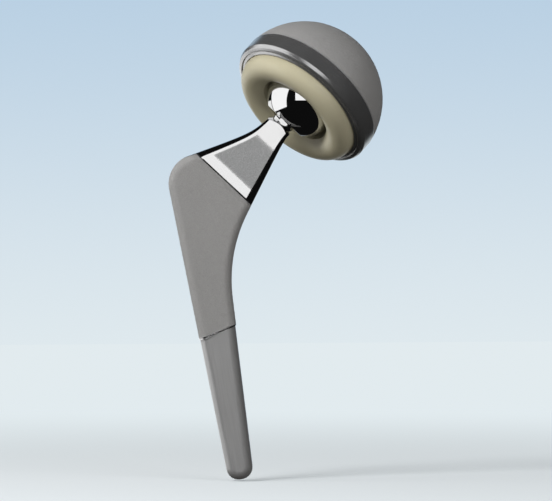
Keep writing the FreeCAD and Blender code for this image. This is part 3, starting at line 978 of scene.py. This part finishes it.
studio = {
    "imageWidth": 552, "imageHeight": 501,
    "viewAzimuth": -10.0, "viewElevation": 1.3, "lens": 450.0, "margin": 1.08,
    "floorDrop": 0.6,                                       # mm under the object
    "floorRadius": 1.4, "floorFade": (0.06, 0.6),           # metres
    "floorGlow": 0.3, "floorShades": ((0.78, 0.82, 0.84, 1), (0.81, 0.84, 0.86, 1)),
    "horizon": (0.76, 0.83, 0.86, 1), "zenith": (0.46, 0.61, 0.76, 1), "skyLift": (-0.05, 0.03),
    "wall": (0.005, 0.005, 0.005, 1), "wallOpening": (0.8, 0.97),       # cosines from straight behind
    "airLow": (0.205, 0.2, 0.19, 1), "airHigh": (0.22, 0.22, 0.22, 1), "airLift": (-0.6, 0.7),
    "aim": Vector((-0.01, 0, -0.02)),
}
# Turn and lift in degrees, distance, width and height in metres, and radiance. Cards show only in
# reflections, and lamps only light
cards = {
    "leftCard": (-90, 12, 0.62, 0.82, 0.82, 1.18),
    "frontCard": (-12.0, 14, 1.3, 0.78, 0.78, 1.18),
    "rearCard": (-142, -14, 0.7, 0.42, 0.34, 1.0),
}
lamps = {
    "keyLamp": (-44, 38, 1.0, 0.36, 0.36, 17.5),
    "sideLamp": (-80, 12, 1.0, 0.5, 0.5, 4.3),
    "fillLamp": (32, 18, 1.2, 0.7, 0.7, 3.0),
}
viewTurn = math.radians(studio["viewAzimuth"])
viewBack = Vector((math.sin(viewTurn), -math.cos(viewTurn), 0))
viewRight = Vector((math.cos(viewTurn), math.sin(viewTurn), 0))


# A direction seen from the object: turn is to the right of the camera, and lift is upwards
def studioWay(turn, lift):
    turn, lift = math.radians(turn), math.radians(lift)
    level = viewBack * math.cos(turn) + viewRight * math.sin(turn)
    return level * math.cos(lift) + Vector((0, 0, math.sin(lift)))


def softbox(name, card, turn, lift, distance, width, height, radiance):
    lamp = bpy.data.lights.new(name, "AREA")
    lamp.shape = "RECTANGLE"
    lamp.size = width
    lamp.size_y = height
    lamp.energy = radiance * math.pi * width * height
    piece = bpy.data.objects.new(name, lamp)
    piece.location = studio["aim"] + studioWay(turn, lift) * distance
    piece.rotation_euler = (piece.location - studio["aim"]).to_track_quat("Z", "Y").to_euler()
    piece.visible_camera = False
    piece.visible_diffuse = not card
    piece.visible_glossy = card
    bpy.context.scene.collection.objects.link(piece)


def plainSurface(name, finish):
    material = bpy.data.materials.new(name)
    material.use_nodes = True
    tree = material.node_tree
    tree.nodes.clear()
    wire = Wire(tree)
    outlet = tree.nodes.new("ShaderNodeOutputMaterial")
    wire.feed(outlet.inputs["Surface"], finish(wire))
    return material


# The floor fades to the horizon's colour far away, and is clear from below
def paleFloor(wire):
    place = wire.add("ShaderNodeTexCoord", output="Object")
    cloud = wire.add("ShaderNodeTexNoise", {}, {"Vector": place, "Scale": 3.0, "Detail": 2.0}, "Fac")
    near = wire.add("ShaderNodeBsdfDiffuse", {}, {"Color": wire.blend(cloud, *studio["floorShades"])})
    far = wire.add("ShaderNodeEmission", {}, {"Color": studio["horizon"], "Strength": 1.0})
    away = place.add("ShaderNodeVectorMath", {"operation": "LENGTH"}, {0: place}, "Value")
    seen = wire.add("ShaderNodeLightPath", output="Is Camera Ray")
    share = away.step(*studio["floorFade"]) * (1 - studio["floorGlow"]) + studio["floorGlow"]
    upper = wire.add("ShaderNodeMixShader", {}, {0: share * seen, 1: near, 2: far})
    under = wire.add("ShaderNodeNewGeometry", {}, {}, "Backfacing")
    clear = wire.add("ShaderNodeBsdfTransparent")
    return wire.add("ShaderNodeMixShader", {}, {0: under, 1: upper, 2: clear})


def makeFloor(height):
    size = studio["floorRadius"]
    mesh = bpy.data.meshes.new("floor")
    corners = [(-size, -size), (size, -size), (size, size), (-size, size)]
    mesh.from_pydata([(x, y, height) for x, y in corners], [], [(0, 1, 2, 3)])
    mesh.materials.append(plainSurface("paleFloor", paleFloor))
    floor = bpy.data.objects.new("floor", mesh)
    bpy.context.scene.collection.objects.link(floor)
    floor.visible_glossy = False
    floor.visible_diffuse = False


# The camera sees the sky, mirrors see dark walls with the sky behind the object, and all else gets soft air
def makeAir():
    world = bpy.data.worlds.new("studioAir")
    bpy.context.scene.world = world
    world.use_nodes = True
    tree = world.node_tree
    tree.nodes.clear()
    wire = Wire(tree)
    paths = tree.nodes.new("ShaderNodeLightPath")
    seen = Wire(tree, paths.outputs["Is Camera Ray"])
    mirrored = Wire(tree, paths.outputs["Is Glossy Ray"])
    ray = wire.add("ShaderNodeTexCoord", output="Generated")
    lift = wire.add("ShaderNodeSeparateXYZ", {}, {0: ray}, "Z")
    behind = wire.add("ShaderNodeVectorMath", {"operation": "DOT_PRODUCT"},
                      {0: ray, 1: tuple(-viewBack)}, "Value")
    sky = wire.blend(lift.step(*studio["skyLift"]), studio["horizon"], studio["zenith"])
    walls = wire.blend(behind.step(*studio["wallOpening"]), studio["wall"], sky)
    soft = wire.blend(lift.step(*studio["airLift"]), studio["airLow"], studio["airHigh"])
    air = wire.blend(seen, wire.blend(mirrored, soft, walls), sky)
    background = wire.add("ShaderNodeBackground", {}, {"Color": air, "Strength": 1.0})
    outlet = tree.nodes.new("ShaderNodeOutputWorld")
    wire.feed(outlet.inputs["Surface"], background)


def makeCamera(low, high):
    camera = bpy.data.cameras.new("photoCamera")
    camera.lens = studio["lens"]
    camera.clip_start = 0.1
    camera.clip_end = 20
    eye = bpy.data.objects.new("photoCamera", camera)
    bpy.context.scene.collection.objects.link(eye)
    bpy.context.scene.camera = eye
    fieldHigh = camera.sensor_width * studio["imageHeight"] / studio["imageWidth"] / camera.lens
    distance = (high.z - low.z) * studio["margin"] / fieldHigh + (high.y - low.y) / 2
    towardsEye = studioWay(0, studio["viewElevation"])
    eye.location = (low + high) / 2 + towardsEye * distance
    eye.rotation_euler = towardsEye.to_track_quat("Z", "Y").to_euler()
    bpy.context.scene.view_settings.view_transform = "Standard"


def makeStudio():
    low, high = [Vector(corner) for corner in cadBox]
    makeFloor(low.z - studio["floorDrop"] * mm)
    makeAir()
    for name, place in cards.items():
        softbox(name, True, *place)
    for name, place in lamps.items():
        softbox(name, False, *place)
    makeCamera(low, high)
    print("studio made")


ballHead()
cupLiner()
cupShell()
femoralStem()
dressNode("liner_lock_ring", newMaterial("ringTitanium", turnedTitanium(domeAxis), Metallic=1.0))
dressNode("apex_hole_plug", newMaterial("plugTitanium", turnedTitanium(domeAxis), Metallic=1.0))
makeStudio()
